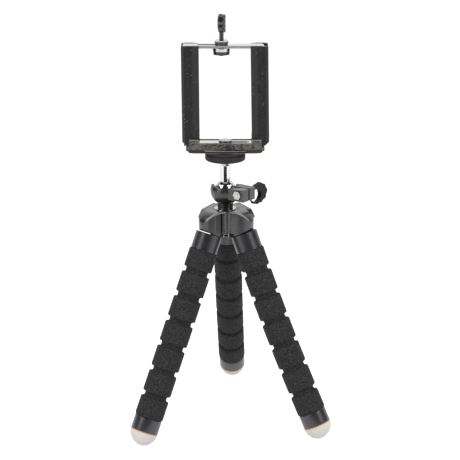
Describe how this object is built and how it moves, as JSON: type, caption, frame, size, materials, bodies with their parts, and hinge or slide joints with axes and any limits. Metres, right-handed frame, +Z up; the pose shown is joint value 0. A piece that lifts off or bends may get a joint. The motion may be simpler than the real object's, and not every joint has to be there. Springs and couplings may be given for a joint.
{
  "type": "phone tripod",
  "caption": "Pocket tripod with segmented bendable foam legs, a small ball head with a clamp lock, and a sliding two-jaw phone clamp.",
  "frame": {"origin": "on the surface it stands on, under the middle of the outline of its feet", "axes": "+Z up along the head, -Y towards the front, where the phone's screen faces, +X to the right seen from the front"},
  "size_m": [0.1346, 0.1398, 0.2809],
  "materials": {
    "foam": "matte, fine closed-cell grain",
    "gloss_plastic": "moulded, glossy",
    "hub_plastic": "moulded, satin",
    "cup_plastic": "moulded, satin",
    "jaw_plastic": "extruded, satin with fine dust",
    "base_plastic": "moulded, fine texture",
    "pad_rubber": "matte",
    "foot_rubber": "smooth, matte",
    "orange_ring": "satin",
    "seat_plastic": "smooth",
    "grip_plastic": "moulded, satin",
    "chrome": "polished",
    "zinc_steel": "plated",
    "steel_wire": "drawn wire",
    "brass": "turned"
  },
  "bodies": {
    "hub": {"hub_body": "hub_plastic", "hub_base": "hub_plastic", "hub_bolt": "zinc_steel", "hip_pins": "zinc_steel", "ball_cup": "cup_plastic", "lock_nut": "chrome"},
    "lock_lever": {"lock_screw": "zinc_steel", "lock_knob": "gloss_plastic"},
    "ball_seat": {"ball_seat": "seat_plastic"},
    "ball_stud": {"ball_stud": "chrome", "mounting_disc": "base_plastic", "disc_pad": "pad_rubber"},
    "clamp": {"base_plate": "base_plastic", "base_insert": "brass", "slot_screw": "zinc_steel", "clamp_collar": "gloss_plastic", "clamp_washer": "chrome", "under_nut": "gloss_plastic"},
    "left_jaw": {"left_jaw": "jaw_plastic", "left_strap": "chrome"},
    "right_jaw": {"right_jaw": "jaw_plastic", "right_strap": "chrome"},
    "clamp_screw": {"thumb_screw": "grip_plastic", "jam_nut": "chrome"},
    "left_leg_1": {"left_collar": "gloss_plastic", "left_foam_1": "foam", "left_wire": "steel_wire"},
    "left_leg_2": {"left_foam_2": "foam"},
    "left_leg_3": {"left_foam_3": "foam"},
    "left_leg_4": {"left_foam_4": "foam"},
    "left_leg_5": {"left_foam_5": "foam"},
    "left_leg_6": {"left_foam_6": "foam"},
    "left_leg_7": {"left_foam_7": "foam", "left_cap": "gloss_plastic", "left_ring": "orange_ring", "left_foot": "foot_rubber"},
    "right_leg_1": {"right_collar": "gloss_plastic", "right_foam_1": "foam", "right_wire": "steel_wire"},
    "right_leg_2": {"right_foam_2": "foam"},
    "right_leg_3": {"right_foam_3": "foam"},
    "right_leg_4": {"right_foam_4": "foam"},
    "right_leg_5": {"right_foam_5": "foam"},
    "right_leg_6": {"right_foam_6": "foam"},
    "right_leg_7": {"right_foam_7": "foam", "right_cap": "gloss_plastic", "right_ring": "orange_ring", "right_foot": "foot_rubber"},
    "rear_leg_1": {"rear_collar": "gloss_plastic", "rear_foam_1": "foam", "rear_wire": "steel_wire"},
    "rear_leg_2": {"rear_foam_2": "foam"},
    "rear_leg_3": {"rear_foam_3": "foam"},
    "rear_leg_4": {"rear_foam_4": "foam"},
    "rear_leg_5": {"rear_foam_5": "foam"},
    "rear_leg_6": {"rear_foam_6": "foam"},
    "rear_leg_7": {"rear_foam_7": "foam", "rear_cap": "gloss_plastic", "rear_ring": "orange_ring", "rear_foot": "foot_rubber"}
  },
  "joints": [
    {"name": "left_hip", "type": "hinge", "parent": "hub", "child": "left_leg_1", "pos_m": [-0.01168, -0.0189, 0.12903], "axis": [-0.6691, 0.7431, 0], "range_deg": [-25, 0]},
    {"name": "left_bend_1", "type": "hinge", "parent": "left_leg_1", "child": "left_leg_2", "pos_m": [-0.02307, -0.02915, 0.11036], "axis": [-0.6691, 0.7431, 0], "range_deg": [0, 14], "deforming": ["left_wire"]},
    {"name": "left_bend_2", "type": "hinge", "parent": "left_leg_2", "child": "left_leg_3", "pos_m": [-0.02857, -0.0341, 0.0945], "axis": [-0.6691, 0.7431, 0], "range_deg": [0, 14]},
    {"name": "left_bend_3", "type": "hinge", "parent": "left_leg_3", "child": "left_leg_4", "pos_m": [-0.03406, -0.03905, 0.07864], "axis": [-0.6691, 0.7431, 0], "range_deg": [0, 14]},
    {"name": "left_bend_4", "type": "hinge", "parent": "left_leg_4", "child": "left_leg_5", "pos_m": [-0.03956, -0.044, 0.06278], "axis": [-0.6691, 0.7431, 0], "range_deg": [0, 14]},
    {"name": "left_bend_5", "type": "hinge", "parent": "left_leg_5", "child": "left_leg_6", "pos_m": [-0.04506, -0.04895, 0.04692], "axis": [-0.6691, 0.7431, 0], "range_deg": [0, 14]},
    {"name": "left_bend_6", "type": "hinge", "parent": "left_leg_6", "child": "left_leg_7", "pos_m": [-0.05055, -0.0539, 0.03106], "axis": [-0.6691, 0.7431, 0], "range_deg": [0, 14]},
    {"name": "right_hip", "type": "hinge", "parent": "hub", "child": "right_leg_1", "pos_m": [0.00501, -0.01731, 0.12918], "axis": [-0.5299, -0.848, 0], "range_deg": [-25, 0]},
    {"name": "right_bend_1", "type": "hinge", "parent": "right_leg_1", "child": "right_leg_2", "pos_m": [0.01741, -0.02507, 0.10996], "axis": [-0.5299, -0.848, 0], "range_deg": [0, 14], "deforming": ["right_wire"]},
    {"name": "right_bend_2", "type": "hinge", "parent": "right_leg_2", "child": "right_leg_3", "pos_m": [0.02335, -0.02877, 0.09392], "axis": [-0.5299, -0.848, 0], "range_deg": [0, 14]},
    {"name": "right_bend_3", "type": "hinge", "parent": "right_leg_3", "child": "right_leg_4", "pos_m": [0.02946, -0.03259, 0.07797], "axis": [-0.5299, -0.848, 0], "range_deg": [0, 14]},
    {"name": "right_bend_4", "type": "hinge", "parent": "right_leg_4", "child": "right_leg_5", "pos_m": [0.03572, -0.03651, 0.06211], "axis": [-0.5299, -0.848, 0], "range_deg": [0, 14]},
    {"name": "right_bend_5", "type": "hinge", "parent": "right_leg_5", "child": "right_leg_6", "pos_m": [0.04216, -0.04052, 0.04634], "axis": [-0.5299, -0.848, 0], "range_deg": [0, 14]},
    {"name": "right_bend_6", "type": "hinge", "parent": "right_leg_6", "child": "right_leg_7", "pos_m": [0.04875, -0.04465, 0.03066], "axis": [-0.5299, -0.848, 0], "range_deg": [0, 14]},
    {"name": "rear_hip", "type": "hinge", "parent": "hub", "child": "rear_leg_1", "pos_m": [-0.0031, -0.00167, 0.12937], "axis": [0.9976, -0.0698, 0], "range_deg": [-25, 0]},
    {"name": "rear_bend_1", "type": "hinge", "parent": "rear_leg_1", "child": "rear_leg_2", "pos_m": [-0.00214, 0.01206, 0.10952], "axis": [0.9976, -0.0698, 0], "range_deg": [0, 14], "deforming": ["rear_wire"]},
    {"name": "rear_bend_2", "type": "hinge", "parent": "rear_leg_2", "child": "rear_leg_3", "pos_m": [-0.00168, 0.01856, 0.09328], "axis": [0.9976, -0.0698, 0], "range_deg": [0, 14]},
    {"name": "rear_bend_3", "type": "hinge", "parent": "rear_leg_3", "child": "rear_leg_4", "pos_m": [-0.0012, 0.02549, 0.07722], "axis": [0.9976, -0.0698, 0], "range_deg": [0, 14]},
    {"name": "rear_bend_4", "type": "hinge", "parent": "rear_leg_4", "child": "rear_leg_5", "pos_m": [-0.00068, 0.03283, 0.06134], "axis": [0.9976, -0.0698, 0], "range_deg": [0, 14]},
    {"name": "rear_bend_5", "type": "hinge", "parent": "rear_leg_5", "child": "rear_leg_6", "pos_m": [-0.00014, 0.04058, 0.04566], "axis": [0.9976, -0.0698, 0], "range_deg": [0, 14]},
    {"name": "rear_bend_6", "type": "hinge", "parent": "rear_leg_6", "child": "rear_leg_7", "pos_m": [0.00043, 0.04874, 0.03019], "axis": [0.9976, -0.0698, 0], "range_deg": [0, 14]},
    {"name": "lock_turn", "type": "hinge", "parent": "hub", "child": "lock_lever", "pos_m": [0.00801, -0.02104, 0.16265], "axis": [0.6157, 0.788, 0], "continuous": true},
    {"name": "ball_pan", "type": "hinge", "parent": "hub", "child": "ball_seat", "pos_m": [-0.00381, -0.0118, 0.16265], "axis": [0, 0, 1], "continuous": true},
    {"name": "ball_tilt", "type": "hinge", "parent": "ball_seat", "child": "ball_stud", "pos_m": [-0.00381, -0.0118, 0.16265], "axis": [1, 0, 0], "range_deg": [-30, 30]},
    {"name": "clamp_turn", "type": "hinge", "parent": "ball_stud", "child": "clamp", "pos_m": [-0.00381, -0.0118, 0.19035], "axis": [0, 0, 1], "continuous": true},
    {"name": "left_jaw_slide", "type": "slide", "parent": "clamp", "child": "left_jaw", "axis": [-1, 0, 0], "range_m": [0, 0.014]},
    {"name": "right_jaw_slide", "type": "slide", "parent": "clamp", "child": "right_jaw", "axis": [1, 0, 0], "range_m": [0, 0.014]},
    {"name": "clamp_screw_turn", "type": "hinge", "parent": "clamp", "child": "clamp_screw", "pos_m": [-0.00621, -0.0118, 0.19035], "axis": [0, 0, 1], "continuous": true}
  ],
  "couplings": [
    {"joint": "left_bend_2", "follows": "left_bend_1", "ratio": 1},
    {"joint": "left_bend_3", "follows": "left_bend_1", "ratio": 1},
    {"joint": "left_bend_4", "follows": "left_bend_1", "ratio": 1},
    {"joint": "left_bend_5", "follows": "left_bend_1", "ratio": 1},
    {"joint": "left_bend_6", "follows": "left_bend_1", "ratio": 1},
    {"joint": "right_bend_2", "follows": "right_bend_1", "ratio": 1},
    {"joint": "right_bend_3", "follows": "right_bend_1", "ratio": 1},
    {"joint": "right_bend_4", "follows": "right_bend_1", "ratio": 1},
    {"joint": "right_bend_5", "follows": "right_bend_1", "ratio": 1},
    {"joint": "right_bend_6", "follows": "right_bend_1", "ratio": 1},
    {"joint": "rear_bend_2", "follows": "rear_bend_1", "ratio": 1},
    {"joint": "rear_bend_3", "follows": "rear_bend_1", "ratio": 1},
    {"joint": "rear_bend_4", "follows": "rear_bend_1", "ratio": 1},
    {"joint": "rear_bend_5", "follows": "rear_bend_1", "ratio": 1},
    {"joint": "rear_bend_6", "follows": "rear_bend_1", "ratio": 1}
  ]
}
